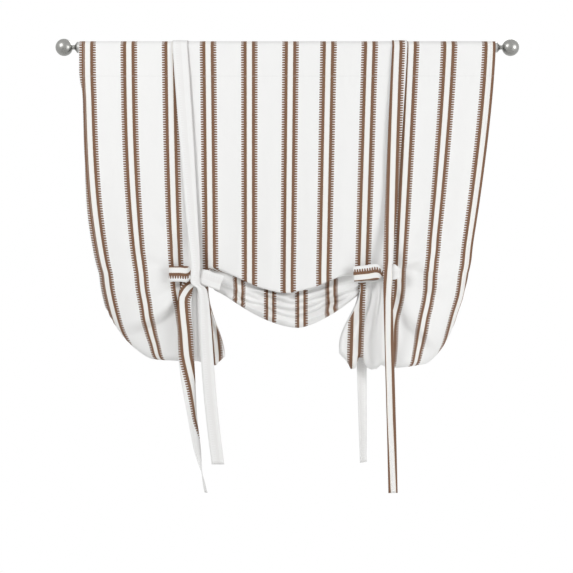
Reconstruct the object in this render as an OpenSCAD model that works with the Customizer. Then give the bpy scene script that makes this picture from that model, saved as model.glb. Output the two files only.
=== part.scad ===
// Tie-up curtain with two bows, hung on a two-tube rod with ball finials.
// X runs along the rod, Y points away from the viewer, Z is up, origin on the rod's axis at mid-length.

/* [Panel] */
// Width of the panel where it hangs on the rod
panel_w = 1042; // [900:1:1200]
// Thickness of the cloth
cloth_t = 1.2; // [0.8:0.1:2]
// Depth of the rod pocket from the rod's axis to its seam
pocket_drop = 74; // [50:1:110]
// Clear space between rod and pocket
pocket_gap = 0.3; // [0.3:0.1:1]
// Share of its width that the panel loses between rod and knots
narrowing = 0.061; // [0:0.005:0.12]
// Depth of the soft upright waves at knot height
wave_depth = 5; // [0:0.5:8]

/* [Gathers] */
// Drop of the knots below the rod
knot_drop = 566; // [500:1:640]
// Distance of the left knot from the middle
knot_left = 228; // [200:1:260]
// Distance of the right knot from the middle
knot_right = 249; // [210:1:270]
// Hang of the left ear below the knots
ear_left = 221; // [180:1:260]
// Hang of the right ear below the knots
ear_right = 238; // [180:1:260]
// Inset of the left edge at knot height
inset_left = 45; // [20:1:80]
// Inset of the right edge at knot height
inset_right = 68; // [20:1:80]
// Hang of the front fold's point below the knots
point_hang = 51; // [44:1:70]
// Hang of the swag below the knots at the middle
swag_hang = 138; // [110:1:160]
// Hang of the lifted corners below the knots
lift_hang = 34; // [24:1:44]
// Width of the left inner flap at its foot
flap_left = 80; // [60:1:110]
// Width of the right inner flap at its foot
flap_right = 118; // [60:1:130]

/* [Ties] */
// Width of a tie
tie_w = 38; // [25:1:45]
// Thickness of a tie
tie_t = 1.6; // [1:0.1:2.4]
// Distance of the left ties from the middle at the rod
tie_left = 268; // [220:1:320]
// Distance of the right ties from the middle at the rod
tie_right = 281; // [220:1:320]
// Hang of the left front tail below the knots
tail_left = 475; // [400:1:550]
// Hang of the left back tail below the knots
tail_left_back = 546; // [400:1:580]
// Hang of the right front tail below the knots
tail_right = 546; // [400:1:580]
// Hang of the right back tail below the knots
tail_right_back = 480; // [400:1:550]

/* [Rod] */
// Outside diameter of the outer tube
rod_d = 28; // [22:0.1:32]
// Wall of both tubes
tube_wall = 1; // [0.8:0.1:1.3]
// Clear space all round between the two tubes
slide_gap = 0.3; // [0.3:0.05:0.5]
// Length of each tube
tube_l = 700; // [620:1:760]
// Bare rod between panel edge and finial
bare_end = 4; // [2:0.5:12]

/* [Finials] */
// Diameter of the ball
ball_d = 43; // [36:0.5:60]
// Diameter of the neck
neck_d = 11; // [8:0.5:16]
// Length of the collar
collar_l = 5; // [3:0.5:10]
// Length from the collar to the ball's centre
ball_reach = 30; // [26:0.5:40]
// Length of the plug inside the tube
plug_l = 18; // [12:1:30]
// Clear space round the plug
plug_gap = 0.1; // [0.05:0.05:0.3]

/* [Hidden] */
$fn = 96;

rod_r = rod_d / 2;
half_w = panel_w / 2;
rod_end = half_w + bare_end;
inner_d = rod_d - 2 * tube_wall - 2 * slide_gap;

// Left and right values, in that order
knot_x = [knot_left, knot_right];
ear_drop = [knot_drop + ear_left, knot_drop + ear_right];
point_drop = knot_drop + point_hang;
swag_drop = knot_drop + swag_hang;
lift_drop = knot_drop + lift_hang;
edge_inset = [inset_left, inset_right];
edge_power = [1.8, 1.1];
ear_taper = 0.78;
flap_w = [flap_left, flap_right];
flap_root = flap_w * 0.38;
tie_x = [tie_left, tie_right];
// Height over which a flap widens below its root
flap_lean = 180;

// Distance from the rod's axis to the middle of the cloth
cloth_r = rod_r + pocket_gap + cloth_t / 2;
// The same at the corners of the bends over the rod, which stand clear of it
arc_r = cloth_r / cos(15);
// Sideways lean of the panel at knot height
lean = -5.4;
// Radius of the front fold, depth of the folded-up layer and of the turned-down hem
fold_r = 5;
layer_gap = 36;
hem_gap = 12;
// Length of cloth turned up inside the front fold
tuck_l = 46;
// Width of the turn that closes a flap towards the swag
turn_w = 20;
// Depth of an ear's curl, its swell, and the rise of its outer corner
curl_depth = 40;
swell = 12;
corner_rise = 14;
// Half width of the rounding at the point of the front fold, and the slope beside it
point_r = 30;
point_slope = 0.33;

function mix(p, q, t) = p + (q - p) * t;
function clip(t) = max(0, min(1, t));
function ease(t) = let (c = clip(t)) c * c * (3 - 2 * c);
function side(a) = a < 0 ? 0 : 1;
function hand(a) = a < 0 ? -1 : 1;

// Places across the panel, as distances from the middle at the rod: tie, inner edge of the flap,
// lifted corner
tie_a = [for (i = [0, 1]) (knot_x[i] + (i == 0 ? lean : -lean)) / (1 - narrowing)];
flap_a = [for (i = [0, 1]) tie_a[i] - flap_root[i]];
lift_a = [for (i = [0, 1]) flap_a[i] - 1.3 * turn_w];

// Shares of the way: ear from tie to edge, flap from tie to its edge, return behind it, swag to middle
function ear_share(a) = let (i = side(a)) clip((abs(a) - tie_a[i]) / (half_w - tie_a[i]));
function flap_share(a) = let (i = side(a)) clip((tie_a[i] - abs(a)) / (tie_a[i] - flap_a[i]));
function turn_share(a) = let (i = side(a)) clip((flap_a[i] - abs(a)) / (flap_a[i] - lift_a[i]));
function swag_share(a) = clip(1 - abs(a) / lift_a[side(a)]);

function way_down(d) = clip(d / knot_drop);
function plain_x(a, d) = a * (1 - narrowing * way_down(d)) + lean * way_down(d);
function tie_line(i, d) = abs(plain_x(tie_a[i] * (i == 0 ? -1 : 1), d));

// Outline of an ear: straight inset down to the knot, then a quarter ellipse
function ellipse_in(i, d) =
    let (top = knot_drop - 46, t = 0.96 * clip((d - top) / (ear_drop[i] - top))) 1 - sqrt(1 - t * t);
function edge_x(i, d) =
    let (reach = half_w - edge_inset[i] - knot_x[i])
    half_w - edge_inset[i] * pow(way_down(d), edge_power[i]) - ear_taper * reach * ellipse_in(i, d);
function puff(d) = ease((d - knot_drop / 2) / (knot_drop * 0.85));
function ear_turn(d) = mix(20, 125, puff(d));
function ear_warp(q, d) = pow(q, 1 + ease((d - 400) / 380));

// Section of an ear at one drop: distance from the middle, and depth
function ear_xy(i, q, d) =
    let (turn = ear_turn(d), s = ear_warp(q, d),
         x = tie_line(i, d) + (edge_x(i, d) - tie_line(i, d)) * sin(turn * s) / sin(min(90, turn)),
         y = curl_depth * puff(d) * (1 - cos(turn * s)) - swell * puff(d) * sin(180 * q))
    [x, y];
// The layers folded up behind it, which end inside its curl
function ear_back_xy(i, q, d) =
    let (turn = min(75, ear_turn(d)), s = ear_warp(q, d),
         x = tie_line(i, d) + (edge_x(i, d) - tie_line(i, d) - 50 * puff(d)) * sin(turn * s) / sin(turn))
    [x, layer_gap * (1 - 0.4 * puff(d) * q)];
function ear_point(i, q, d, dl) =
    let (f = min(1, dl / layer_gap))
    mix(ear_xy(i, q, d), ear_back_xy(i, q, d), f) + [0, max(0, dl - layer_gap)];

function flap_edge_x(i, d) =
    let (t = (d - knot_drop - 40) / flap_lean)
    tie_line(i, d) - mix(flap_root[i] * (1 - narrowing), flap_w[i], ease(t));
function lift_line(i, d) = flap_edge_x(i, min(d, lift_drop)) - turn_w;
function low_x(a, d) =
    let (i = side(a), m = abs(a))
    m >= flap_a[i] ? hand(a) * mix(tie_line(i, d), flap_edge_x(i, d), flap_share(a)) :
    m >= lift_a[i] ? hand(a) * (flap_edge_x(i, d) - turn_w * turn_share(a)) :
    a * lift_line(i, d) / lift_a[i];
lift_x = [for (i = [0, 1]) lift_line(i, lift_drop)];

function wave(a, d) = wave_depth * ease(way_down(d)) * pow(sin(180 * (abs(a) - tie_a[side(a)]) / 80), 2);
function set_back(a) = 14 * ease(turn_share(a)) * (1 - ease(3 * swag_share(a)));

// Point of the cloth at place a, drop d, depth dl behind the front; k goes from 0 on the front to 1 below
function cloth_point(a, d, dl, k) =
    let (i = side(a), q = ear_share(a))
    q > 0 ?
        let (e = ear_point(i, q, d, dl))
        [hand(a) * e[0], e[1] - cloth_r - wave(a, d) * (1 - puff(d)), -d] :
        [mix(plain_x(a, d), low_x(a, d), k),
         dl - cloth_r - wave(a, d) * (1 - k) + set_back(a) * k * max(0, 1 - dl / layer_gap), -d];

// Drops along one upright line of cloth
function fold_share(a) = turn_share(a) * mix(0.2, 1, ease(1.6 * swag_share(a)));
function front_drop(a) =
    let (m = min(abs(a), lift_a[side(a)]))
    point_drop - point_slope * (sqrt(m * m + point_r * point_r) - point_r);
function foot_drop(a) =
    let (i = side(a), m = abs(a) / lift_a[i], q = ear_share(a))
    abs(a) < lift_a[i] ? mix(lift_drop, swag_drop, pow(1 - m * m, 1.2)) :
    q > 0 ? ear_drop[i] - corner_rise * q * q : mix(ear_drop[i], lift_drop, ease(turn_share(a)));
function crest_drop(a) = knot_drop - 26 + 20 * ease(2 * ear_share(a)) - 36 * turn_share(a);
function hem_drop(a) = knot_drop + 78 - 90 * turn_share(a) + 86 * ease(swag_share(a));

// Rows down one line of cloth, each as drop, depth and layer
function front_rows(a) =
    let (end = front_drop(a) - 24) [for (t = [0:7]) [end * t / 7, 0, 0]];
function tuck_rows(a) =
    let (f = fold_share(a), r = fold_r, low = front_drop(a), top = low - tuck_l,
         bent = [[low - r, 0], [low - r * 0.3, r * 0.3], [low, r], [low - r, 2 * r],
                 [top + r, 2 * r], [top, 3 * r], [top + r * 0.3, 3.7 * r], [top + r, 4 * r]])
    [for (n = [0:7]) [mix(low - 16 + 4 * n, bent[n][0], f), f * bent[n][1], n / 7]];
function foot_rows(a) =
    let (start = tuck_rows(a)[7], foot = foot_drop(a), r = (layer_gap - start[1]) / 2)
    concat([for (t = [1:5]) [mix(start[0], foot - r, t / 5), start[1], 1]],
           [for (t = [30:30:150]) [foot - r + r * sin(t), start[1] + r * (1 - cos(t)), 1]]);
function back_rows(a) =
    let (foot = foot_drop(a) - (layer_gap - tuck_rows(a)[7][1]) / 2, r = hem_gap / 2, top = crest_drop(a) + r)
    concat([for (t = [0:4]) [mix(foot, top, t / 4), layer_gap, 1]],
           [for (t = [45:45:135]) [top - r * sin(t), layer_gap + r * (1 - cos(t)), 1]],
           [for (t = [0:2]) [mix(top, hem_drop(a), t / 2), layer_gap + hem_gap, 1]]);

// Pocket behind and over the rod, from the seam up
function pocket_line(a) =
    concat([for (t = [0:2]) let (s = t / 3)
                [a, mix(cloth_t + 0.2 - cloth_r, cloth_r, ease(s * 1.1)), -mix(pocket_drop, 0, s)]],
           [for (t = [180:-30:30]) let (r = t == 180 ? cloth_r : arc_r) [a, -r * cos(t), r * sin(t)]]);
function cloth_line(a) =
    concat([for (p = pocket_line(a)) [plain_x(a, -p[2]), p[1], p[2]]],
           [for (r = concat(front_rows(a), tuck_rows(a), foot_rows(a), back_rows(a)))
                cloth_point(a, r[0], r[1], r[2])]);

// Places across the panel where its lines of cloth run
half_places = [for (i = [0, 1]) concat(
    [for (n = [0:7]) mix(half_w, tie_a[i], n / 8)],
    [for (n = [0:3]) mix(tie_a[i], flap_a[i], n / 4)],
    [for (n = [0:5]) mix(flap_a[i], lift_a[i], n / 6)],
    [for (n = [0:6]) mix(lift_a[i], 0, n / 7)])];
places = concat([for (a = half_places[0]) -a], [0],
                [for (n = [len(half_places[1]) - 1:-1:0]) half_places[1][n]]);

// Closed sheet round a grid of points: both faces half a thickness off the middle, joined at the rim
module sheet(grid, t) {
    m = len(grid);
    n = len(grid[0]);
    off = [for (i = [0:m - 1]) [for (j = [0:n - 1])
        let (du = grid[min(i + 1, m - 1)][j] - grid[max(i - 1, 0)][j],
             dv = grid[i][min(j + 1, n - 1)] - grid[i][max(j - 1, 0)],
             c = cross(du, dv)) c * t / 2 / norm(c)]];
    points = concat([for (i = [0:m - 1]) for (j = [0:n - 1]) grid[i][j] + off[i][j]],
                    [for (i = [0:m - 1]) for (j = [0:n - 1]) grid[i][j] - off[i][j]]);
    half = m * n;
    rim = concat([for (i = [0:m - 1]) i * n], [for (j = [1:n - 1]) (m - 1) * n + j],
                 [for (i = [m - 2:-1:0]) i * n + n - 1], [for (j = [n - 2:-1:1]) j]);
    faces = concat(
        [for (i = [0:m - 2]) for (j = [0:n - 2]) each let (p = i * n + j)
            [[p, p + 1, p + n + 1], [p, p + n + 1, p + n],
             [half + p, half + p + n + 1, half + p + 1], [half + p, half + p + n, half + p + n + 1]]],
        [for (k = [0:len(rim) - 1]) each let (p = rim[k], q = rim[(k + 1) % len(rim)])
            [[p, q, half + q], [p, half + q, half + p]]]);
    polyhedron(points, faces);
}

// Smooth run through stations of a tie; each has place, turn about Z, tilt of its width, and half width
function smooth_at(k, n, t) =
    let (a = k[max(0, n - 1)], b = k[n], c = k[n + 1], d = k[min(len(k) - 1, n + 2)])
    0.5 * (2 * b + (c - a) * t + (2 * a - 5 * b + 4 * c - d) * t * t + (3 * b - a - 3 * c + d) * t * t * t);
function smooth_run(k, steps) =
    concat([for (n = [0:len(k) - 2]) for (s = [0:steps - 1]) smooth_at(k, n, s / steps)], [k[len(k) - 1]]);
function across(s) = [cos(s[4]) * cos(s[3]), cos(s[4]) * sin(s[3]), sin(s[4])] * s[5];

module tie(stations) {
    run = smooth_run(stations, 3);
    sheet([for (u = [-1, 1]) [for (s = run) [s[0], s[1], s[2]] + u * across(s)]], tie_t);
}

// Distance from the rod's axis to the middle of a tie lying on the pocket
tie_r = arc_r + cloth_t / 2 + 0.4 + tie_t / 2;
half_tie = tie_w / 2;
half_knot = tie_w * 0.3;
// Depths of the bow's layers before the cloth
bow_y = [for (n = [0:5]) -cloth_r - cloth_t / 2 - 7 - 5 * n];
// Depth behind the gathered layers
stack_y = layer_gap + hem_gap - cloth_r + cloth_t / 2 + 6;

function tie_top(x, way) =
    [for (t = [84, 56, 28, 0]) [x, -way * tie_r * cos(t), tie_r * sin(t), 0, 0, half_tie]];

// Front tie: over the pocket's top, down to the knot, over the bow, then the tail
module front_tie(i, shift, hang) {
    s = i == 0 ? -1 : 1;
    tie(concat(tie_top(s * tie_x[i], 1),
        [for (t = [0.02, 0.06, 0.15, 0.45, 0.75])
            [s * mix(tie_x[i], knot_x[i], t), -tie_r - 1 - 9 * t, -knot_drop * t,
             0, 0, mix(half_tie, half_knot, t * t)]],
        [for (z = [24, -24]) [s * knot_x[i], bow_y[5], -knot_drop + z, 0, 0, half_knot]],
        [for (t = [0.25, 0.5, 0.75, 1])
            [s * knot_x[i] + shift * t, bow_y[5], -knot_drop - mix(24, hang, t), 8 * s, 0,
             half_tie * 0.84]]));
}

// One loop of a bow at height z from the knot outwards and back, from depth y1 to depth y2
function loop(kx, reach, droop, y1, y2, z, tilt) =
    let (lean = atan(droop / reach))
    [for (n = [[0.45, 0], [0.88, 0.12], [1, 0.5], [0.88, 0.88], [0.45, 1]])
        [kx + reach * n[0], mix(y1, y2, n[1]), z - droop * n[0], 0, tilt - lean, half_tie]];

// Back tie: down the back, forward under the lifted corner, both loops of the bow with a half turn of the
// tie between them, then the tail; each loop has reach and droop
module back_tie(i, loop_1, loop_2, tail) {
    s = i == 0 ? -1 : 1;
    kx = s * knot_x[i];
    lx = s * (lift_x[i] - 10);
    under = lift_drop + 18;
    tie(concat(tie_top(s * tie_x[i], -1),
        [for (t = [0.02, 0.06, 0.3])
            [s * mix(tie_x[i], lift_x[i], t / 2), tie_r + 6 * t, -knot_drop * t, 0, 0, half_tie]],
        [[s * mix(tie_x[i], lift_x[i], 0.6), stack_y, -knot_drop * 0.72, 0, 0, half_tie * 0.8],
         [lx, stack_y + 2, -knot_drop, 0, 0, half_knot * 0.8],
         [lx, stack_y - 12, -under, 0, 45 + 25 * s, half_knot * 0.6],
         [lx, 4, -under - 3, 0, 60 + 35 * s, half_knot * 0.6],
         [lx, bow_y[0] + 4, -under + 4, 0, 90 + 40 * s, half_knot * 0.6],
         [mix(lx, kx, 0.4), bow_y[0], -knot_drop - 26, 0, 90 + 38 * s, half_knot * 0.8],
         [mix(lx, kx, 0.85), bow_y[0] - 1, -knot_drop, 0, 90 + 10 * s, half_tie * 0.7]],
        loop(kx, loop_1[0], loop_1[1], bow_y[1], bow_y[4], -knot_drop, 90),
        [for (n = [-1, 0, 1])
            [kx + 8 * n * (loop_2[0] > 0 ? 1 : -1), bow_y[4], -knot_drop, 90, 90 - 90 * s * (n + 1),
             half_knot * (0.2 + 0.15 * abs(n))]],
        loop(kx, loop_2[0], loop_2[1], bow_y[4], bow_y[2], -knot_drop - 4, 90 - 180 * s),
        tail));
}

module curtain_panel() {
    color("white") sheet([for (a = places) cloth_line(a)], cloth_t);
}

module front_tie_left() {
    color("whitesmoke") front_tie(0, 57, tail_left);
}

module front_tie_right() {
    color("whitesmoke") front_tie(1, 13, tail_right);
}

module back_tie_left() {
    kx = -knot_x[0];
    color("gainsboro") back_tie(0, [-66, 0], [60, 22],
        [[kx - 10, bow_y[2], -knot_drop - 18, 0, 315, half_tie * 0.7],
         [kx - 26, bow_y[2], -knot_drop - 62, 0, 350, half_tie * 0.8],
         for (n = [[0.3, 15, 0.85], [0.6, 55, 0.85], [0.8, 105, 0.8], [1, 125, 0.3]])
             [kx - 28 + 54 * n[0] * n[0], bow_y[3], -knot_drop - mix(62, tail_left_back, n[0]), n[1], 360,
              half_tie * n[2]]]);
}

module back_tie_right() {
    kx = knot_x[1];
    lx = lift_x[1];
    color("gainsboro") back_tie(1, [34, 2], [-84, 10],
        [[kx - 10, bow_y[2], -knot_drop - 8, 0, -110, half_knot * 0.4],
         [kx - 12, bow_y[2], -knot_drop - 24, 0, -190, half_knot * 0.5],
         [kx - 36, bow_y[1], -knot_drop - 44, 0, -225, half_knot * 0.6],
         [lx - 10, bow_y[1], -lift_drop - 32, 0, -225, half_knot * 0.6],
         [lx - 20, 4, -lift_drop - 38, 0, -205, half_knot * 0.6],
         [lx - 20, stack_y - 12, -lift_drop - 42, 0, -190, half_knot * 0.6],
         for (t = [0.25, 0.6, 1])
             [lx + 8 * t, stack_y + 4, -knot_drop - mix(lift_hang, tail_right_back, t), 50 * t, -180,
              half_tie * 0.7]]);
}

module tube(d) {
    rotate([0, 90, 0])
        difference() {
            cylinder(d = d, h = tube_l);
            translate([0, 0, -1])
                cylinder(d = d - 2 * tube_wall, h = tube_l + 2);
        }
}

module rod_outer_tube() {
    color("silver") translate([-rod_end, 0, 0]) tube(rod_d);
}

module rod_inner_tube() {
    color("silver") translate([rod_end - tube_l, 0, 0]) tube(inner_d);
}

// Turned finial along +Z from the tube's end: plug, collar, cone, neck, ball
module finial(tube_d) {
    plug_r = tube_d / 2 - tube_wall - plug_gap;
    neck_z = ball_reach - sqrt(ball_d * ball_d - neck_d * neck_d) / 2;
    translate([0, 0, collar_l + ball_reach])
        sphere(d = ball_d);
    rotate_extrude()
        polygon([[0, -plug_l], [plug_r, -plug_l], [plug_r, 0], [tube_d / 2, 0], [tube_d / 2, collar_l * 0.4],
                 [neck_d / 2, collar_l + neck_z * 0.4], [neck_d / 2, collar_l + neck_z + 1],
                 [0, collar_l + neck_z + 1]]);
}

module finial_left() {
    color("gray") translate([-rod_end, 0, 0]) rotate([0, -90, 0]) finial(rod_d);
}

module finial_right() {
    color("gray") translate([rod_end, 0, 0]) rotate([0, 90, 0]) finial(inner_d);
}

curtain_panel();
front_tie_left();
back_tie_left();
front_tie_right();
back_tie_right();
rod_outer_tube();
rod_inner_tube();
finial_left();
finial_right();
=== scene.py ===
"""Tie-up curtain with two bows on a two-tube rod: cloth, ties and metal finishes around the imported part."""
import math

import bmesh
import bpy
import numpy as np
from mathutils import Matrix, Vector, noise


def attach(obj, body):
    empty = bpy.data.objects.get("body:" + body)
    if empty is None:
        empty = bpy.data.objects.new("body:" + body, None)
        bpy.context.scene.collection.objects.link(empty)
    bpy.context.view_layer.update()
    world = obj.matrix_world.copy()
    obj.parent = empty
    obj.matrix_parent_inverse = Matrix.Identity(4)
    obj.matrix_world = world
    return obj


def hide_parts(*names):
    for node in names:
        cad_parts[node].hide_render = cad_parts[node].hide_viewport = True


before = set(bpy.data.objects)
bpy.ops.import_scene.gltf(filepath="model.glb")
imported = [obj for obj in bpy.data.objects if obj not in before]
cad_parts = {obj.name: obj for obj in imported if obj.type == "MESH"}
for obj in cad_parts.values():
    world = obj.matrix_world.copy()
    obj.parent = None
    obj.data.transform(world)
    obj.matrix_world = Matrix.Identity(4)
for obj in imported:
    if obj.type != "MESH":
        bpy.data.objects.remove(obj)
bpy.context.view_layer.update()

# Sizes in millimetres, angles in degrees; a drop is measured down from the rod's axis; pairs are left, right
WAY = (-1, 1)
PANEL_W = 1042
HALF_W = PANEL_W / 2
CLOTH_T = 1.2
SHOWN_T = 0.9
ROD_R = 14
ROD_GAP = 0.3
CLOTH_R = ROD_R + ROD_GAP + CLOTH_T / 2
POCKET_DROP = 74
KNOT_DROP = 566
KNOT_X = (228, 249)

# The hanging front: how far it is drawn in and leans at the knots, and its upright waves
NARROWING = 0.061
LEAN = -5.4
WAVE_DEPTH = 4
WAVE_PITCH = 80

# The front fold, with a rounded point in the middle, and the layers folded behind it
POINT_DROP = KNOT_DROP + 51
POINT_R = 30
POINT_SLOPE = (0.33, 0.275)
FOLD_R = 5
TUCK_L = 46
TUCK_END = 14
TUCK_START = 18
TUCK_RUN = 30
LAYER_GAP = 36
HEM_GAP = 12

# Ears: outline and curl; changes of the outline and of the print are humps of height, drop and width
EAR_TOP = KNOT_DROP - 46
EAR_DROP = (KNOT_DROP + 221, KNOT_DROP + 238)
EAR_TAPER = 0.78
EDGE_INSET = (45, 68)
EDGE_POWER = (2.6, 1.4)
EDGE_ROUND = 0.96
PRINT_ROUND = (0.873, 0.9)
PRINT_SPARE = (13, 10)
BULGE = ((5.5, 630, 85), (4.2, 555, 70))
SLIP = ((4.4, 650, 60), (6, 690, 50))
SPREAD = ((0, 555, 45), (5, 555, 45))
SIDE_HEM = (8, 0)
KNOT_PULL = 11
CURL = (20, 125)
CURL_DEPTH = 40
SWELL = 12
BACK_CURL = 75
BACK_INSET = 50
CORNER_RISE = 14
CORNER_POWER = (4, 2)

# Inner flaps: width at the knot and at the foot, the drop over which it grows, and along the foot, by share
# of the flap's width, the lobes as height, place and width and the cut corner as height, start and run
FLAP_ROOT = (30, 72)
FLAP_W = (72, 118)
FLAP_LEAN = (180, 140)
FLAP_LOBES = (((9, 0.68, 0.16), (-8, 0.4, 0.12)), ((8, 0.24, 0.1), (-24, 0.52, 0.12), (-14, 0.1, 0.05)))
FLAP_CORNER = ((12, 0.8, 0.2), (42, 0.72, 0.36))

# The swag between its two lifted corners, and the powers of its foot's curve
LIFT_W = 26
LIFT_DROP = (KNOT_DROP + 14, KNOT_DROP + 40)
LIFT_BACK = 14
TURN_W = -12
SWAG_DROP = KNOT_DROP + 138
SWAG_MID = 24
SWAG_CURVE = ((1.7, 1.05), (1.5, 0.95))

# The crest over which the hem comes down behind, and the hem: place against the knots, then how far the ears,
# the returns beside the flaps and the swag move them
CREST_RISE = 26
CREST_EAR = 20
CREST_TURN = 36
HEM_HANG = 78
HEM_TURN = 90
HEM_SWAG = 86

# Flat places, out from the middle, of the ties, the flaps' edges and the lifted corners
TIE_A = [(KNOT_X[i] - WAY[i] * LEAN) / (1 - NARROWING) for i in (0, 1)]
FLAP_A = [TIE_A[i] - FLAP_ROOT[i] for i in (0, 1)]
LIFT_A = [FLAP_A[i] - LIFT_W for i in (0, 1)]

# Printed stripe pairs on the flat cloth, in groups of three
PAIR_GROUP = 301.3
PAIR_STEP = 103.2
PAIR_START = -95
TOOTH_PITCH = 6.2

# Stripe pairs that show on the flaps: flat place, place at the knot and at the foot, how far drawn together
FLAP_PAIR = ((-198, -191, -174.6, 1.35), (208, 177, 171, 1))
FLAP_PAIR_DROP = 599
FLAP_PAIR_RUN = 190

# The swag's print: place of one pair, and how far the cloth is drawn in on each side of it
SWAG_PAIR_X = 35
SWAG_DRAWN = (0.757, 0.80)

# Creases of the swag, V-shaped about one place: drop of the point, slope, reach to each side
CREASE_X = 14
CREASE_DEPTH = 16
SWAG_CREASES = ((627, 0.55, 26), (646, 0.30, 120), (664, 0.36, 150), (682, 0.40, 160))

# How many rows each layer of the cloth has, and how many columns ear, flap, return and half swag have
POCKET_BACK, POCKET_ARC, FRONT, TUCK, LOW, FOOT, RISE, CREST, HEM = 9, 14, 66, 26, 36, 10, 20, 6, 10
COLUMNS = (48, 16, 12, 34)


def mix(p, q, t):
    return p + (q - p) * t


def clip(t):
    return max(0.0, min(1.0, t))


def ease(t):
    c = clip(t)
    return c * c * (3 - 2 * c)


def bell(t, middle, width):
    return math.exp(-(((t - middle) / width) ** 2))


def hump(t, shape):
    height, middle, width = shape
    return height * bell(t, middle, width)


def between(t, start, rise, end, fall):
    """Eases from 0 to 1 over the rise after start, and back to 0 over the fall before end."""
    return ease((t - start) / rise) * ease((end - t) / fall)


def sin(angle):
    return math.sin(math.radians(angle))


def cos(angle):
    return math.cos(math.radians(angle))


def soft_noise(x, y, seed):
    return noise.noise(Vector((x, y, seed)))


def side(a):
    return 0 if a < 0 else 1


def way_down(d):
    return clip(d / KNOT_DROP)


def plain_x(a, d):
    """Place across the hanging front of the flat place a at drop d."""
    return a * (1 - NARROWING * way_down(d)) + LEAN * way_down(d)


def tie_line(i, d):
    return abs(plain_x(WAY[i] * TIE_A[i], d))


def ear_share(a):
    i = side(a)
    return clip((abs(a) - TIE_A[i]) / (HALF_W - TIE_A[i]))


def flap_share(a):
    i = side(a)
    return clip((TIE_A[i] - abs(a)) / (TIE_A[i] - FLAP_A[i]))


def turn_share(a):
    i = side(a)
    return clip((FLAP_A[i] - abs(a)) / (FLAP_A[i] - LIFT_A[i]))


def swag_share(a):
    return clip(1 - abs(a) / LIFT_A[side(a)])


def edge_x(i, d, share):
    """Outline of an ear: a light inset down to the knot, then that share of a quarter ellipse."""
    t = share * clip((d - EAR_TOP) / (EAR_DROP[i] - EAR_TOP))
    inward = EAR_TAPER * (HALF_W - EDGE_INSET[i] - KNOT_X[i]) * (1 - math.sqrt(1 - t * t))
    return HALF_W - EDGE_INSET[i] * way_down(d) ** EDGE_POWER[i] - inward


def puff(d):
    """How far an ear is puffed out at drop d, from 0 to 1."""
    return ease((d - KNOT_DROP / 2) / (KNOT_DROP * 0.85))


def ear_point(i, q, d, depth):
    """Section of an ear at drop d: the curled front, blending to the flatter layers folded up behind it."""
    curl = mix(CURL[0], CURL[1], puff(d))
    square = min(90, curl)
    start = tie_line(i, d)
    hem = SIDE_HEM[i] * ease((d - 60) / 90) * (1 - ease((d - 180) / 280))
    reach = edge_x(i, d, EDGE_ROUND) + hump(d, BULGE[i]) - hem - start
    spare = PRINT_SPARE[i] * ease((d - EAR_DROP[i] + 48) / 50)
    width = edge_x(i, d, PRINT_ROUND[i]) - start + spare
    slip = hump(d, SLIP[i]) * ease(q / 0.12)
    spread = hump(d, SPREAD[i])
    full = (width + spread) / reach
    share = q * full - (slip + spread * q * (1 - q) + 0.4 * hem * q ** 6) / reach
    seen = 1 - 0.04 * clip((curl - 90) / 35)
    if share < seen:
        angle = math.degrees(math.asin(share / seen * sin(square)))
    else:
        angle = mix(square, curl, clip((share - seen) / max(full - seen, 1e-6)))
    near = q / 0.15
    drawn_in = KNOT_PULL * ease((d - 590) / 140) * near * math.exp(1 - near)
    front_x = start + reach * sin(angle) / sin(square) - drawn_in
    front_y = CURL_DEPTH * puff(d) * (1 - cos(angle)) - SWELL * puff(d) * sin(180 * q)
    if hem > 0 and share > 1:
        # The side hem turns back on itself
        over = (share - 1) * reach
        front_x -= 0.8 * over
        front_y += 2.4 * ease(over / 3)
    back_curl = min(BACK_CURL, curl)
    s = q ** (1 + ease((d - 400) / 380))
    back_x = start + (reach - BACK_INSET * puff(d)) * sin(back_curl * s) / sin(back_curl)
    back_y = LAYER_GAP * (1 - 0.4 * puff(d) * q)
    f = min(1, depth / LAYER_GAP)
    return mix(front_x, back_x, f ** 3), mix(front_y, back_y, f) + max(0, depth - LAYER_GAP)


def flap_edge_x(i, d):
    root = FLAP_ROOT[i] * (1 - NARROWING)
    return tie_line(i, d) - mix(root, FLAP_W[i], ease((d - KNOT_DROP - 40) / FLAP_LEAN[i]))


def lift_line(i, d):
    return flap_edge_x(i, min(d, LIFT_DROP[i])) - TURN_W


def low_x(a, d):
    """Place across the cloth below the front fold: flap, its return, swag."""
    i = side(a)
    if abs(a) >= FLAP_A[i]:
        return WAY[i] * mix(tie_line(i, d), flap_edge_x(i, d), flap_share(a))
    if abs(a) >= LIFT_A[i]:
        return WAY[i] * (flap_edge_x(i, d) - TURN_W * turn_share(a))
    return a * lift_line(i, d) / LIFT_A[i]


def wave(a, d):
    return WAVE_DEPTH * ease(way_down(d)) * sin(180 * (abs(a) - TIE_A[side(a)]) / WAVE_PITCH) ** 2


def cloth_point(a, d, depth, k):
    """Point of the cloth: flat place a, drop d, depth behind the front, k from 0 on the front to 1 below."""
    i = side(a)
    q = ear_share(a)
    if q > 0:
        x, y = ear_point(i, q, d, depth)
        return WAY[i] * x, y - CLOTH_R - wave(a, d) * (1 - puff(d)), -d
    back = LIFT_BACK * ease(turn_share(a)) * (1 - ease(3 * swag_share(a)))
    y = depth - CLOTH_R - wave(a, d) * (1 - k) + back * k * max(0, 1 - depth / LAYER_GAP)
    return mix(plain_x(a, d), low_x(a, d), k), y, -d


def front_drop(a):
    """Drop of the front fold's lower edge."""
    i = side(a)
    m = min(abs(a), LIFT_A[i])
    return POINT_DROP - POINT_SLOPE[i] * (math.sqrt(m * m + POINT_R * POINT_R) - POINT_R)


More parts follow.
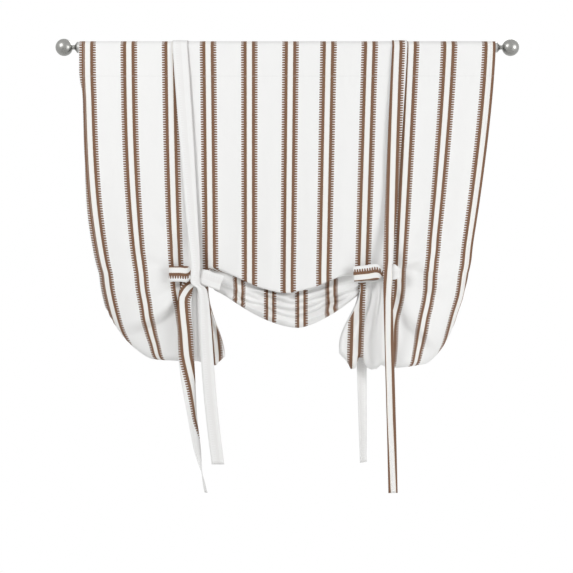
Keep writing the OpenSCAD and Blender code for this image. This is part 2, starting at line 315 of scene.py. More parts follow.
def flap_lobes(i, share):
    """Rise and fall of a flap's foot where its folds end."""
    lobes = sum(hump(share, shape) for shape in FLAP_LOBES[i])
    if i == 1:
        # A lobe on the right lies close to the tie, so it is eased in to meet the ear's foot there
        lobes *= ease(share / 0.08)
    cut, start, run = FLAP_CORNER[i]
    return lobes - cut * ease((share - start) / run)


def foot_drop(a):
    """Drop of the lowest point of the line of cloth at the flat place a."""
    i = side(a)
    q = ear_share(a)
    if abs(a) < LIFT_A[i]:
        n = side(a - SWAG_MID)
        m = abs(a - SWAG_MID) / (LIFT_A[n] - WAY[n] * SWAG_MID)
        inner, outer = SWAG_CURVE[n]
        return mix(LIFT_DROP[n], SWAG_DROP, (1 - m ** inner) ** outer)
    if q > 0:
        return EAR_DROP[i] - CORNER_RISE * q ** CORNER_POWER[i]
    return mix(EAR_DROP[i] + flap_lobes(i, flap_share(a)), LIFT_DROP[i], ease(turn_share(a)))


def crest_drop(a):
    """Drop of the fold over which the hem comes down again behind."""
    return KNOT_DROP - CREST_RISE + CREST_EAR * ease(2 * ear_share(a)) - CREST_TURN * turn_share(a)


def hem_drop(a):
    return KNOT_DROP + HEM_HANG - HEM_TURN * turn_share(a) + HEM_SWAG * ease(swag_share(a))


def tuck_bend(t, low):
    """Drop and depth along the S-shaped tuck of the front fold, t from 0 to 1."""
    top = low - TUCK_L
    r = FOLD_R
    arc = math.pi * r
    rise = TUCK_L - 2 * r
    s = t * (2 * arc + rise + TUCK_END)
    if s < arc:
        angle = 180 * s / arc
        return low - r + r * sin(angle), r - r * cos(angle)
    s -= arc
    if s < rise:
        return low - r - s, 2 * r
    s -= rise
    if s < arc:
        angle = 180 * s / arc
        return top + r - r * sin(angle), 3 * r - r * cos(angle)
    return top + r + s - arc, 4 * r


def cloth_rows(a):
    """Rows of one line of cloth as drop, depth, k and layer; the pocket's rows carry y and z instead."""
    rows = []
    for n in range(POCKET_BACK):
        s = n / POCKET_BACK
        y = mix(CLOTH_T + 0.2 - CLOTH_R, CLOTH_R, ease(s * 1.1))
        rows.append((y, -mix(POCKET_DROP, 0, s), 0, "pocket"))
    for n in range(POCKET_ARC):
        angle = 180 - 180 * n / POCKET_ARC
        rows.append((-CLOTH_R * cos(angle), CLOTH_R * sin(angle), 0, "pocket"))
    low = front_drop(a)
    fold = turn_share(a) * mix(0.2, 1, ease(1.6 * swag_share(a)))
    end = mix(low - TUCK_START, low - FOLD_R, fold)
    for n in range(FRONT):
        rows.append((end * n / FRONT, 0, 0, "front"))
    for n in range(TUCK + 1):
        t = n / TUCK
        drop, depth = tuck_bend(t, low)
        rows.append((mix(low - TUCK_START + TUCK_RUN * t, drop, fold), fold * depth, ease(t), "tuck"))
    start_drop, start_depth = rows[-1][0], rows[-1][1]
    foot = foot_drop(a)
    r = (LAYER_GAP - start_depth) / 2
    for n in range(1, LOW + 1):
        rows.append((mix(start_drop, foot - r, n / LOW), start_depth, 1, "low"))
    for n in range(1, FOOT):
        angle = 180 * n / FOOT
        rows.append((foot - r + r * sin(angle), start_depth + r * (1 - cos(angle)), 1, "low"))
    r_top = HEM_GAP / 2
    top = crest_drop(a) + r_top
    for n in range(RISE):
        rows.append((mix(foot - r, top, n / RISE), LAYER_GAP, 1, "back"))
    for n in range(CREST):
        angle = 180 * n / CREST
        rows.append((top - r_top * sin(angle), LAYER_GAP + r_top * (1 - cos(angle)), 1, "back"))
    for n in range(HEM + 1):
        rows.append((mix(top, hem_drop(a), n / HEM), LAYER_GAP + HEM_GAP, 1, "back"))
    return rows


def places():
    """Flat places across the panel, left to right."""
    halves = []
    for i in (0, 1):
        marks = (HALF_W, TIE_A[i], FLAP_A[i], LIFT_A[i], 0)
        halves.append([mix(marks[m], marks[m + 1], n / count)
                       for m, count in enumerate(COLUMNS) for n in range(count)])
    return [-a for a in halves[0]] + [0] + halves[1][::-1]


def print_place(a, x, d, k):
    """Place across the print: the flat place on the front and ears, and the drawn-in cloth below the fold."""
    if ear_share(a) > 0:
        return a
    pair, pair_top, pair_foot, drawn = FLAP_PAIR[side(a)]
    flap = pair + drawn * (x - mix(pair_top, pair_foot, (d - FLAP_PAIR_DROP) / FLAP_PAIR_RUN))
    flap = mix(a, flap, ease(flap_share(a) / 0.35))
    off = x - SWAG_PAIR_X
    swag = off / SWAG_DRAWN[side(off)] + PAIR_START + PAIR_STEP
    low = mix(flap, swag, ease(2 * turn_share(a)))
    return mix(a, low, k)


def ledge(d, line, depth, fall, recover):
    """A soft fold: the cloth steps in below the line and comes out again further down."""
    return -depth * ease((d - line) / fall) * (1 - ease((d - line - fall) / recover))


def ear_folds(i, x, d):
    """The large soft folds that the tied cloth makes across an ear."""
    if i == 0:
        line = 600 + 92 * (1 - ((415 - min(x, 415)) / 165) ** 2)
        fold = ledge(d, line, depth=18, fall=32, recover=130)
        return fold * between(x, start=245, rise=40, end=425, fall=60)
    line = 540 + 0.004 * (x - 312) ** 2
    folds = ledge(d, line, depth=14, fall=24, recover=70) * between(x, start=268, rise=30, end=372, fall=50)
    line = 640 + 0.9 * (x - 265)
    folds += ledge(d, line, depth=16, fall=36, recover=110) * between(x, start=262, rise=30, end=390, fall=60)
    line = 590 - 0.45 * (x - 385)
    folds += hump(d, (5, line, 20)) * between(x, start=340, rise=30, end=430, fall=40)
    return folds


def knot_creases(i, x, d):
    """Height of the creases that run out from a knot over its ear."""
    dx, dz = abs(x) - KNOT_X[i], d - KNOT_DROP
    if dx <= 0:
        return 0
    out = math.hypot(dx, dz)
    bearing = math.atan2(dz, dx)
    fan = math.sin(9 * bearing + 2.2 * soft_noise(bearing * 2, i * 7, 2))
    fan += 0.6 * math.sin(17 * bearing + 1.5 + i)
    return 1.9 * fan * ease((out - 15) / 60) * (1 - ease((out - 110) / 170)) * ease(dx / 30)


def swag_gathers(a, x, d, t):
    """Height of the swag's rolls, belly and creases, t from 0 under the front fold to 1 at its foot."""
    roll = 1 - abs(math.sin(math.pi * 2.3 * (t + 0.10 * soft_noise(a / 60, 1, 4)) + 0.4))
    belly = 9 * ease(7 * swag_share(a))
    near_foot = ease(5 * (1 - t))
    height = (8 * (roll ** 1.5 - 0.3) + belly) * ease(9 * t) * near_foot
    for drop, slope, reach in SWAG_CREASES:
        out = abs(x - CREASE_X)
        off = d - drop + slope * out + 6 * soft_noise(x / 40, drop, 8)
        crease = CREASE_DEPTH * bell(off, 0, 5 if off < 0 else 9)
        height -= crease * ease((reach - out) / 50) * near_foot
    return height


def flap_pleats(i, share, d):
    """Height of a flap's upright pleats, share from 0 at the tie to 1 at the flap's edge."""
    pleat = math.sin(6.283 * ((2.1 + i) * share + 0.12 * soft_noise(d / 60, i, 6)))
    return (4 + 2 * i) * pleat * ease((d - KNOT_DROP) / 60) * ease(4 * share) * ease(4 * (1 - share))


def wrinkle(a, d, layer, low, foot, x):
    """Height of the cloth's wrinkles over its smooth form, towards its printed face."""
    i = side(a)
    height = 1.3 * soft_noise(a / 120, d / 170, 3) + 0.5 * soft_noise(a / 45, d / 60, 9)
    if layer == "pocket":
        return 0.25 * height
    height *= ease(d / 150)
    if layer == "back":
        ripple = math.sin(a / 13 + 3 * soft_noise(a / 90, d / 140, 7))
        return 1.5 * height + ripple * mix(0.6, 2.2, clip((d - 560) / 80))
    if layer == "front" or ear_share(a) > 0:
        pucker = math.sin(a / 3.1 + 2 * soft_noise(a / 60, 0, 5))
        height += 0.5 * pucker * bell(d, POCKET_DROP, 16)
    height += knot_creases(i, x, d)
    if layer == "low" and ear_share(a) == 0:
        if abs(a) < LIFT_A[i]:
            height += swag_gathers(a, x, d, clip((d - low) / max(20, foot - low)))
        else:
            height += flap_pleats(i, flap_share(a), d)
    return height


def grid_piece(name, points, uvs, hems=None):
    """A sheet from a grid whose corners are moved to points[i][j], with its flat coordinates as UV maps."""
    columns, rows = len(points), len(points[0])
    bm = bmesh.new()
    bmesh.ops.create_grid(bm, x_segments=columns - 1, y_segments=rows - 1, size=1)
    flat = bm.loops.layers.uv.new("flat")
    hem = bm.loops.layers.uv.new("hem") if hems is not None else None
    spot = {}
    for v in bm.verts:
        i = round((v.co.x + 1) / 2 * (columns - 1))
        j = round((1 - v.co.y) / 2 * (rows - 1))
        spot[v] = (i, j)
    for f in bm.faces:
        f.smooth = True
        for loop in f.loops:
            i, j = spot[loop.vert]
            loop[flat].uv = uvs[i][j]
            if hem is not None:
                loop[hem].uv = hems[i][j]
    for v, (i, j) in spot.items():
        v.co = points[i][j]
    mesh = bpy.data.meshes.new(name)
    bm.to_mesh(mesh)
    bm.free()
    piece = bpy.data.objects.new(name, mesh)
    bpy.context.collection.objects.link(piece)
    return piece


def grid_normals(points):
    across = np.gradient(points, axis=0)
    along = np.gradient(points, axis=1)
    n = np.cross(along, across)
    return n / np.maximum(np.linalg.norm(n, axis=2, keepdims=True), 1e-9)


def run_length(points):
    """Length along each line of points, from its first point."""
    steps = np.linalg.norm(np.diff(points, axis=1), axis=2)
    return np.concatenate([np.zeros((points.shape[0], 1)), np.cumsum(steps, axis=1)], axis=1)


def thicken(piece, thickness):
    """Gives a sheet its thickness, with the second material on its reverse and rim."""
    shell = piece.modifiers.new("thickness", "SOLIDIFY")
    shell.thickness = thickness / 1000
    shell.offset = 0
    shell.use_rim = True
    shell.material_offset = 1
    shell.material_offset_rim = 1


def make_panel():
    """The panel, its mean flat length and the run length of the pocket's seam, both in metres."""
    line = places()
    points, lifts, prints = [], [], []
    for a in line:
        i = side(a)
        low, foot = front_drop(a), foot_drop(a)
        column, lift, across = [], [], []
        for d, depth, k, layer in cloth_rows(a):
            if layer == "pocket":
                drop = -depth
                x, y, z = plain_x(a, drop), d, depth
            else:
                drop = d
                x, y, z = cloth_point(a, d, depth, k)
                if abs(x) > KNOT_X[i] and layer != "back":
                    y -= ear_folds(i, abs(x), d)
            column.append((x, y, z))
            lift.append(wrinkle(a, drop, layer, low, foot, x))
            across.append(print_place(a, x, drop, k))
        points.append(column)
        lifts.append(lift)
        prints.append(across)
    points = np.array(points, float)
    along = run_length(points)
    points = points + grid_normals(points) * np.array(lifts)[:, :, None]
    uvs = np.stack([np.array(prints), along], axis=2) / 1000
    edge = np.repeat(HALF_W - np.abs(np.array(line, float))[:, None], points.shape[1], axis=1)
    hems = np.stack([edge, along[:, -1:] - along], axis=2) / 1000
    panel = grid_piece("cotton_panel", points / 1000, uvs, hems)
    thicken(panel, SHOWN_T)
    seam = along[len(line) // 2][POCKET_BACK + POCKET_ARC] + POCKET_DROP
    return panel, float(along[:, -1].mean()) / 1000, seam / 1000


# Ties: widths, and the depths of the crossings at the bow and of the cloth stacked behind
TIE_W = 38
TIE_T = 1.6
TIE_SHOWN_T = 1.2
TIE_X = (268, 281)
TIE_R = CLOTH_R / cos(15) + CLOTH_T / 2 + 0.4 + TIE_T / 2
HALF_TIE = TIE_W / 2
HALF_KNOT = TIE_W * 0.3
HALF_NOTCH = HALF_KNOT * 0.35
KNOT_H = 24
BOW_Y = [-CLOTH_R - CLOTH_T / 2 - 7 - 5 * n for n in range(6)]
STACK_Y = LAYER_GAP + HEM_GAP - CLOTH_R + CLOTH_T / 2 + 6
LIFT_X = [lift_line(i, LIFT_DROP[i]) for i in (0, 1)]
NOTCH_DROP = (KNOT_DROP + 22, KNOT_DROP + 12)

# Tails of the front ties: drop below the knot, shift across, share of the width
LEFT_FRONT_TAIL = ((46, 18, 0.6), (120, 24, 0.76), (235, 31, 0.84), (350, 41, 0.84), (475, 56, 0.84))
RIGHT_FRONT_TAIL = ((155, 3, 0.62), (285, 6.5, 0.62), (415, 10, 0.62), (546, 13, 0.62))

# A loop of a bow: share of its reach, and of the way from its first depth to its second
LOOP_COURSE = ((0.28, 0), (0.6, 0.03), (0.88, 0.12), (1, 0.5), (0.88, 0.88), (0.6, 0.97), (0.28, 1))

# Loops of the bows: reach, droop, rise against the knot, share of the width that is left at the tip
LEFT_LOOPS = ((-66, 0, -3, 1), (64, 22, -4, 1))
RIGHT_LOOPS = ((32, 8, 5, 0.5), (-84, 8, 5, 1))


def tie_top(x, way):
    """Stations over the pocket; each station is x, y, z, turn about Z, tilt of the width, half width."""
    return [(x, -way * TIE_R * cos(t), TIE_R * sin(t), 0, 0, HALF_TIE) for t in (84, 56, 28, 0)]


def front_tie_stations(i, tail):
    """Down the front, over the knot, and the tail."""
    kx = WAY[i] * KNOT_X[i]
    run = tie_top(WAY[i] * TIE_X[i], 1)
    for t in (0.02, 0.06, 0.15, 0.45, 0.75):
        x = WAY[i] * mix(TIE_X[i], KNOT_X[i], t)
        run.append((x, -TIE_R - 1 - 9 * t, -KNOT_DROP * t, 0, 0, mix(HALF_TIE, HALF_KNOT, t * t)))
    for z in (KNOT_H, -KNOT_H):
        run.append((kx, BOW_Y[5], -KNOT_DROP + z, 0, 0, HALF_KNOT))
    for drop, shift, share in tail:
        run.append((kx + shift, BOW_Y[5], -KNOT_DROP - drop, 8 * WAY[i], 0, HALF_TIE * share))
    return run


def loop_stations(kx, loop, y1, y2, tilt):
    """One loop of a bow from the knot outwards and back, from depth y1 to depth y2."""
    reach, droop, rise, tip = loop
    way = 1 if reach > 0 else -1
    lean = way * math.degrees(math.atan2(droop, abs(reach)))
    run = []
    for out, t in LOOP_COURSE:
        half = HALF_TIE * mix(1, tip, out ** 4)
        run.append((kx + reach * out, mix(y1, y2, t), -KNOT_DROP + rise - droop * out, 0, tilt - lean, half))
    return run


def back_tie_stations(i, loops, tail):
    """Down the back, forward under the lifted corner, the bow's loops with a half turn between, the tail."""
    s = WAY[i]
    kx = s * KNOT_X[i]
    lx = s * LIFT_X[i]
    edge = s * (LIFT_X[i] - 20)
    under = NOTCH_DROP[i]
    run = tie_top(s * TIE_X[i], -1)
    for t in (0.02, 0.06, 0.3):
        run.append((s * mix(TIE_X[i], LIFT_X[i], t / 2), TIE_R + 6 * t, -KNOT_DROP * t, 0, 0, HALF_TIE))
    run += [(s * mix(TIE_X[i], LIFT_X[i], 0.6), STACK_Y, -KNOT_DROP * 0.72, 0, 0, HALF_TIE * 0.8),
            (lx, STACK_Y + 2, -KNOT_DROP, 0, 0, HALF_KNOT * 0.8),
            (lx, STACK_Y - 12, -under, 0, 45 + 25 * s, HALF_NOTCH),
            (lx, 8, -under, 0, 60 + 30 * s, HALF_NOTCH),
            (edge, -4, -under, 0, 90, HALF_NOTCH),
            (edge, BOW_Y[0] + 3, -under + 2, 0, 90 + 20 * s, HALF_NOTCH),
            (mix(edge, kx, 0.4), BOW_Y[0], -KNOT_DROP - 14, 0, 90 + 20 * s, HALF_KNOT * 0.5),
            (mix(edge, kx, 0.85), BOW_Y[0] - 1, -KNOT_DROP, 0, 90 + 10 * s, HALF_TIE * 0.7)]
    run += loop_stations(kx, loops[0], BOW_Y[1], BOW_Y[4], 90)
    way = 1 if loops[1][0] > 0 else -1
    for n in (-1, 0, 1):
        half = HALF_KNOT * (0.2 + 0.15 * abs(n))
        run.append((kx + 6 * n * way, BOW_Y[4], -KNOT_DROP, 90, 90 - 90 * s * (n + 1), half))
    run += loop_stations(kx, loops[1], BOW_Y[4], BOW_Y[2], 90 - 180 * s)
    return run + tail


def left_tail():
    """Tail of the left back tie, which turns its edge forward as it hangs."""
    kx = -KNOT_X[0]
    run = [(kx - 10, BOW_Y[2], -KNOT_DROP - 18, 0, 315, HALF_TIE * 0.7),
           (kx - 26, BOW_Y[2], -KNOT_DROP - 62, 0, 350, HALF_TIE * 0.92)]
    for t, turn, half in ((0.3, 10, 1.02), (0.6, 50, 0.9), (0.8, 66, 0.84), (1, 120, 0.3)):
        run.append((kx - 28 + 54 * t * t, BOW_Y[3], -KNOT_DROP - mix(62, 546, t), turn, 360, HALF_TIE * half))
    return run


def right_tail():
    """Tail of the right back tie, which goes back through the notch and hangs behind the flap."""
    kx = KNOT_X[1]
    lx = LIFT_X[1]
    run = [(kx - 8, BOW_Y[2], -KNOT_DROP - 2, 0, -100, HALF_NOTCH),
           (kx - 8, BOW_Y[2] + 2, -KNOT_DROP - 14, 0, -200, HALF_NOTCH),
           (kx - 32, BOW_Y[1], -KNOT_DROP - 18, 0, -255, HALF_NOTCH),
           (lx - 15, BOW_Y[0] - 2, -KNOT_DROP - 20, 0, -262, HALF_NOTCH),
           (lx - 18, -4, -KNOT_DROP - 20, 0, -262, HALF_NOTCH),
           (lx - 6, 10, -KNOT_DROP - 22, 0, -240, HALF_NOTCH),
           (lx - 8, STACK_Y - 12, -KNOT_DROP - 26, 0, -200, HALF_KNOT * 0.5)]
    for t in (0.25, 0.6, 1):
        run.append((185 + 8 * t, STACK_Y + 4, -KNOT_DROP - mix(14, 480, t), 50 * t, -180, HALF_TIE * 0.7))
    return run


def smooth_run(stations, steps):
    """Smooth course through the stations, with that many steps from each to the next."""
    k = np.array(stations, float)
    run = []
    for n in range(len(k) - 1):
        a, b, c, d = k[max(0, n - 1)], k[n], k[n + 1], k[min(len(k) - 1, n + 2)]
        for step in range(steps):
            t = step / steps
            run.append(0.5 * (2 * b + (c - a) * t + (2 * a - 5 * b + 4 * c - d) * t * t
                              + (3 * b - a - 3 * c + d) * t ** 3))
    run.append(k[-1])
    return np.array(run)


def make_tie(name, stations, seed, pair_run):
    """A flat strip through its stations, a little cupped, with its flat width and length as UV."""
    run = smooth_run(stations, 10)
    shares = np.linspace(-1, 1, 9)
    turn, tilt = np.radians(run[:, 3]), np.radians(run[:, 4])
    half = run[:, 5]
    across = np.stack([np.cos(tilt) * np.cos(turn), np.cos(tilt) * np.sin(turn), np.sin(tilt)], axis=1)
    across = across * half[:, None]
    points = run[None, :, :3] + shares[:, None, None] * across[None, :, :]
    along = np.tile(run_length(run[None, :, :3]), (len(shares), 1))
    lift = np.zeros(points.shape[:2])
    for i, u in enumerate(shares):
        for j in range(len(run)):
            pinch = 1 - half[j] / HALF_TIE
            lift[i, j] = 0.5 * soft_noise(u, along[i, j] / 40, seed) + 1.6 * pinch * math.sin(5.2 * u + seed)
    points = points + grid_normals(points) * lift[:, :, None]
    from_end = along[0, -1] - along[0]
    pair = np.interp(from_end, [p[0] for p in pair_run], [p[1] for p in pair_run])
    uvs = np.stack([(shares[:, None] + 1) * half[None, :] - pair[None, :], along], axis=2) / 1000
    piece = grid_piece(name, points / 1000, uvs)
    thicken(piece, TIE_SHOWN_T)
    return piece, float(along[0, -1]) / 1000


# Colours of the cloth and its print
WHITE_COTTON = (0.86, 0.86, 0.855, 1)
GREY_COTTON = (0.80, 0.80, 0.80, 1)
SLUB_COTTON = (0.70, 0.69, 0.67, 1)
STITCH_THREAD = (0.66, 0.66, 0.65, 1)
CREAM_PRINT = (0.84, 0.80, 0.72, 1)
BROWN_PRINT = (0.150, 0.063, 0.025, 1)
WORN_PRINT = (0.19, 0.09, 0.041, 1)

# Bands of a stripe pair in metres: distance from its middle line and half width
CREAM_BAND = (0.0055, 0.0020)
BAR_BAND = (0.0103, 0.0037)
COMB_BAND = (0.0171, 0.0037)

# Weave and stitches, in radians for each metre and in metres
THREAD_TURN = 6283 / 0.8
STITCH_PITCH = 0.0034
STITCH_HALF = 0.0005
HEM_STITCH = 0.025
SIDE_STITCH = 0.012


def new_material(name, roughness):
    material = bpy.data.materials.new(name)
    material.use_nodes = True
    shader = material.node_tree.nodes["Principled BSDF"]
    shader.inputs["Roughness"].default_value = roughness
    return material, material.node_tree, shader


def calc(tree, operation, *values):
    """A math node; numbers are set on its sockets and outputs are linked to them."""
    step = tree.nodes.new("ShaderNodeMath")
    step.operation = operation
    for n, value in enumerate(values):
        if isinstance(value, (int, float)):
            step.inputs[n].default_value = value
        else:
            tree.links.new(value, step.inputs[n])
    return step.outputs[0]


def flat_places(tree, uv_name):
    """A UV map's vector and its two coordinates."""
    place = tree.nodes.new("ShaderNodeUVMap")
    place.uv_map = uv_name
    parts = tree.nodes.new("ShaderNodeSeparateXYZ")
    tree.links.new(place.outputs[0], parts.inputs[0])
    return place.outputs[0], parts.outputs[0], parts.outputs[1]


def noise_on(tree, vector, scale, detail, stretch=None):
    if stretch:
        pull = tree.nodes.new("ShaderNodeMapping")
        pull.inputs["Scale"].default_value = stretch
        tree.links.new(vector, pull.inputs[0])
        vector = pull.outputs[0]
    grain = tree.nodes.new("ShaderNodeTexNoise")
    grain.inputs["Scale"].default_value = scale
    grain.inputs["Detail"].default_value = detail
    tree.links.new(vector, grain.inputs["Vector"])
    return grain.outputs["Fac"]


def tint(tree, share, first, second):
    """A colour mixed from two colours by a share."""
    blend = tree.nodes.new("ShaderNodeMix")
    blend.data_type = "RGBA"
    for socket, value in ((blend.inputs[0], share), (blend.inputs[6], first), (blend.inputs[7], second)):
        if isinstance(value, (int, float, tuple)):
            socket.default_value = value
        else:
            tree.links.new(value, socket)
    return blend.outputs[2]


def add_bump(tree, shader, height, strength, distance):
    bump = tree.nodes.new("ShaderNodeBump")
    bump.inputs["Strength"].default_value = strength
    bump.inputs["Distance"].default_value = distance
    tree.links.new(height, bump.inputs["Height"])
    tree.links.new(bump.outputs[0], shader.inputs["Normal"])


def weave_height(tree, place, across, along):
    """Plain weave: crossing threads with slubs."""
    warp = calc(tree, "SINE", calc(tree, "MULTIPLY", across, THREAD_TURN))
    weft = calc(tree, "SINE", calc(tree, "MULTIPLY", along, THREAD_TURN))
    threads = calc(tree, "MULTIPLY", warp, weft)
    slub_across = noise_on(tree, place, 1, 2, (1600, 90, 1))
    slub_along = noise_on(tree, place, 1, 2, (90, 1600, 1))
    slubs = calc(tree, "ADD", slub_across, slub_along)
    return calc(tree, "ADD", calc(tree, "MULTIPLY", threads, 0.35), slubs), slubs


def pair_print(tree, place, across, along):
    """Shares of brown and cream in the stripe pairs: two bars with a comb of teeth outward, cream inward."""
    half_group = PAIR_GROUP / 2000
    half_pitch = TOOTH_PITCH / 2000
    fray = calc(tree, "MULTIPLY", calc(tree, "SUBTRACT", noise_on(tree, place, 900, 2), 0.5), 0.0012)
    group = calc(tree, "WRAP", calc(tree, "SUBTRACT", across, PAIR_START / 1000), half_group, -half_group)
    from_middle = calc(tree, "ABSOLUTE", group)
    from_side = calc(tree, "ABSOLUTE", calc(tree, "SUBTRACT", from_middle, PAIR_STEP / 1000))
    off = calc(tree, "ADD", calc(tree, "MINIMUM", from_middle, from_side), fray)
    bar = calc(tree, "COMPARE", off, *BAR_BAND)
    comb = calc(tree, "COMPARE", off, *COMB_BAND)
    tooth_place = calc(tree, "ADD", calc(tree, "WRAP", along, half_pitch, -half_pitch), fray)
    half_tooth = calc(tree, "MULTIPLY_ADD", off, -0.14, 0.0045)
    tooth = calc(tree, "LESS_THAN", calc(tree, "ABSOLUTE", tooth_place), half_tooth)
    brown = calc(tree, "MAXIMUM", bar, calc(tree, "MULTIPLY", comb, tooth))
    cream = calc(tree, "COMPARE", off, *CREAM_BAND)
    return brown, cream


def stitch_row(tree, distance, along):
    """Share of thread in a row of stitches at distance 0."""
    row = calc(tree, "COMPARE", distance, 0.0, STITCH_HALF)
    step = calc(tree, "WRAP", along, STITCH_PITCH / 2, -STITCH_PITCH / 2)
    dash = calc(tree, "COMPARE", step, 0.0, STITCH_PITCH * 0.38)
    return calc(tree, "MULTIPLY", row, dash)


def cotton(name, printed, seam=None, ghost=0.0, shift=0.0):
    """Woven cotton, printed or with the print faintly showing through, and stitched where it has a seam."""
    material, tree, shader = new_material(name, 0.86)
    shader.inputs["Sheen Weight"].default_value = 0.12
    shader.inputs["Sheen Roughness"].default_value = 0.5
    shader.inputs["Specular IOR Level"].default_value = 0.25
    place, across, along = flat_places(tree, "flat")
    height, slubs = weave_height(tree, place, across, along)
    mottle = noise_on(tree, place, 14, 4)
    ground = tint(tree, calc(tree, "MULTIPLY", mottle, 0.35), WHITE_COTTON, GREY_COTTON)
    ground = tint(tree, calc(tree, "MULTIPLY", slubs, 0.08), ground, SLUB_COTTON)
    if printed or ghost:
        if shift:
            across = calc(tree, "ADD", across, shift)
        brown, cream = pair_print(tree, place, across, along)
        strength = 1.0 if printed else ghost
        ground = tint(tree, calc(tree, "MULTIPLY", cream, 0.55 * strength), ground, CREAM_PRINT)
        worn = tint(tree, mottle, BROWN_PRINT, WORN_PRINT)
        ground = tint(tree, calc(tree, "MULTIPLY", brown, 0.96 * strength), ground, worn)
    if seam is not None:
        _, edge, from_end = flat_places(tree, "hem")
        pocket = stitch_row(tree, calc(tree, "SUBTRACT", along, seam), across)
        bottom = stitch_row(tree, calc(tree, "SUBTRACT", from_end, HEM_STITCH), across)
        sides = stitch_row(tree, calc(tree, "SUBTRACT", edge, SIDE_STITCH), along)
        stitches = calc(tree, "MAXIMUM", pocket, calc(tree, "MAXIMUM", bottom, sides))
        ground = tint(tree, calc(tree, "MULTIPLY", stitches, 0.5), ground, STITCH_THREAD)
        height = calc(tree, "SUBTRACT", height, calc(tree, "MULTIPLY", stitches, 2.0))
    tree.links.new(ground, shader.inputs["Base Color"])
    add_bump(tree, shader, height, 0.35, 0.0003)
    rough = calc(tree, "MULTIPLY_ADD", slubs, 0.12, 0.76)
    tree.links.new(rough, shader.inputs["Roughness"])
    return material


def brushed_metal(name, colour, dark, roughness, stretch):
    """Metal with clouds of a darker shade and fine brushed lines."""
    material, tree, shader = new_material(name, roughness)
    shader.inputs["Metallic"].default_value = 1
    place = tree.nodes.new("ShaderNodeTexCoord").outputs["Object"]
    cloud = noise_on(tree, place, 60, 5)
    lines = noise_on(tree, place, 1, 3, stretch)
    tree.links.new(tint(tree, cloud, colour, dark), shader.inputs["Base Color"])
    rough = calc(tree, "MULTIPLY_ADD", lines, 0.18, roughness - 0.09)
    tree.links.new(rough, shader.inputs["Roughness"])
    add_bump(tree, shader, calc(tree, "ADD", lines, cloud), 0.12, 0.0002)
    return material


panel, panel_length, pocket_seam = make_panel()
panel.data.materials.append(cotton("striped_cotton", True, pocket_seam))
panel.data.materials.append(cotton("cotton_reverse", False, pocket_seam, ghost=0.07))
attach(panel, "hung_curtain")
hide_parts("curtain_panel")

# Distance of the stripe pair from a tie's first edge, by the length up from the tie's lower end, as the edge
# is turned under more or less
EVEN_PAIR = ((0, 28.5), (2000, 28.5))
LEFT_TAIL_PAIR = ((0, 60), (120, 60), (160, 42), (180, 36), (265, 31), (345, 20), (400, 18), (440, 14),
                  (485, 9), (540, 28.5), (2000, 28.5))
RIGHT_PAIR = ((0, 13), (180, 9), (380, 9), (480, 12), (576, 19.6), (1136, 11.5))

# Each tie: its node, its stations, the seed of its wrinkles, whether its printed face is out, its stripe pair
tie_striped = cotton("tie_stripe", True, shift=PAIR_START / 1000)
tie_plain = cotton("tie_reverse", False, ghost=0.05, shift=PAIR_START / 1000)
TIES = (("front_tie_left", front_tie_stations(0, LEFT_FRONT_TAIL), 11, False, EVEN_PAIR),
        ("back_tie_left", back_tie_stations(0, LEFT_LOOPS, left_tail()), 12, True, LEFT_TAIL_PAIR),
        ("front_tie_right", front_tie_stations(1, RIGHT_FRONT_TAIL), 13, True, RIGHT_PAIR),
        ("back_tie_right", back_tie_stations(1, RIGHT_LOOPS, right_tail()), 14, True, EVEN_PAIR))
for node, stations, seed, printed_out, pair_run in TIES:
    tie, length = make_tie("cotton_" + node, stations, seed, pair_run)
    for material in ((tie_striped, tie_plain) if printed_out else (tie_plain, tie_striped)):
        tie.data.materials.append(material)
    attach(tie, "hung_curtain")
    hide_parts(node)

rod_metal = brushed_metal("satin_rod_steel", colour=(0.56, 0.56, 0.55, 1), dark=(0.48, 0.48, 0.47, 1),
                          roughness=0.34, stretch=(40, 900, 900))
ball_metal = brushed_metal("pewter_finial", colour=(0.36, 0.36, 0.345, 1), dark=(0.25, 0.25, 0.24, 1),
                           roughness=0.36, stretch=(900, 120, 120))
for node, metal in (("rod_outer_tube", rod_metal), ("rod_inner_tube", rod_metal),
                    ("finial_left", ball_metal), ("finial_right", ball_metal)):
    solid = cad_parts[node]
    solid.data.materials.clear()
    solid.data.materials.append(metal)

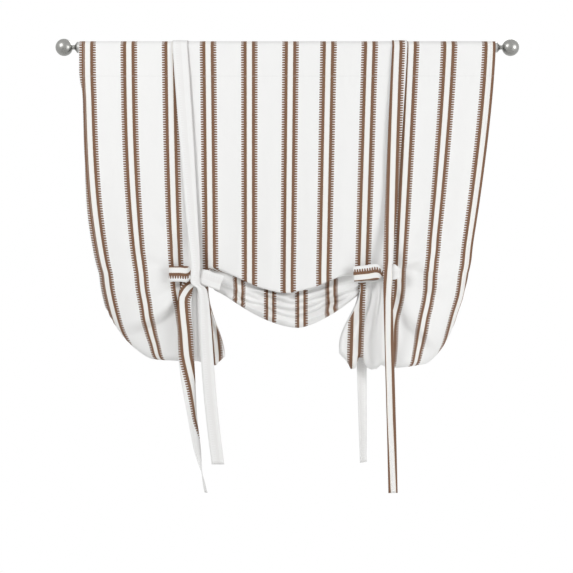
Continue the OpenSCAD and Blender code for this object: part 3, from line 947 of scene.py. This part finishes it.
# Floor, lights, air and camera, in metres and watts
FLOOR_R = 2.2
FLOOR_PLACE = (0, -1.75, -1.42)
LIGHT_TARGET = Vector((0, 0, -0.5))
LIGHTS = (("key", Vector((-1.9, -2.0, 1.0)), 1.0, 43),
          ("fill", Vector((2.6, -1.7, -0.1)), 1.6, 42),
          ("rear", Vector((0.8, 2.4, 1.1)), 1.8, 34))
AIR_LIGHT = 0.42
CAMERA_PLACE = (-0.002, -3.994, -0.600)

bm = bmesh.new()
bmesh.ops.create_circle(bm, cap_ends=True, segments=96, radius=FLOOR_R)
bmesh.ops.translate(bm, verts=bm.verts, vec=FLOOR_PLACE)
floor_mesh = bpy.data.meshes.new("floor")
bm.to_mesh(floor_mesh)
bm.free()
floor = bpy.data.objects.new("floor", floor_mesh)
bpy.context.collection.objects.link(floor)
floor_material, _, floor_shader = new_material("pale_floor", 0.9)
floor_shader.inputs["Base Color"].default_value = (0.88, 0.88, 0.87, 1)
floor_mesh.materials.append(floor_material)

for name, place, size, watts in LIGHTS:
    lamp = bpy.data.lights.new(name, "AREA")
    lamp.shape = "DISK"
    lamp.size = size
    lamp.energy = watts
    light = bpy.data.objects.new(name, lamp)
    bpy.context.collection.objects.link(light)
    light.location = place
    light.rotation_euler = (LIGHT_TARGET - place).to_track_quat("-Z", "Y").to_euler()

# The air is white to the camera and in reflections, and lights the cloth with less
world = bpy.data.worlds.new("studio")
bpy.context.scene.world = world
world.use_nodes = True
tree = world.node_tree
air = tree.nodes["Background"]
air.inputs["Color"].default_value = (1, 1, 1, 1)
rays = tree.nodes.new("ShaderNodeLightPath")
seen = calc(tree, "MAXIMUM", rays.outputs["Is Camera Ray"],
            calc(tree, "MAXIMUM", rays.outputs["Is Glossy Ray"], rays.outputs["Is Transmission Ray"]))
tree.links.new(calc(tree, "MULTIPLY_ADD", seen, 1 - AIR_LIGHT, AIR_LIGHT), air.inputs["Strength"])

camera_data = bpy.data.cameras.new("camera")
camera_data.lens = 100
camera_data.sensor_width = 36
camera = bpy.data.objects.new("camera", camera_data)
bpy.context.collection.objects.link(camera)
camera.location = CAMERA_PLACE
camera.rotation_euler = (math.radians(90), 0, 0)
bpy.context.scene.camera = camera
bpy.context.scene.view_settings.view_transform = "Standard"
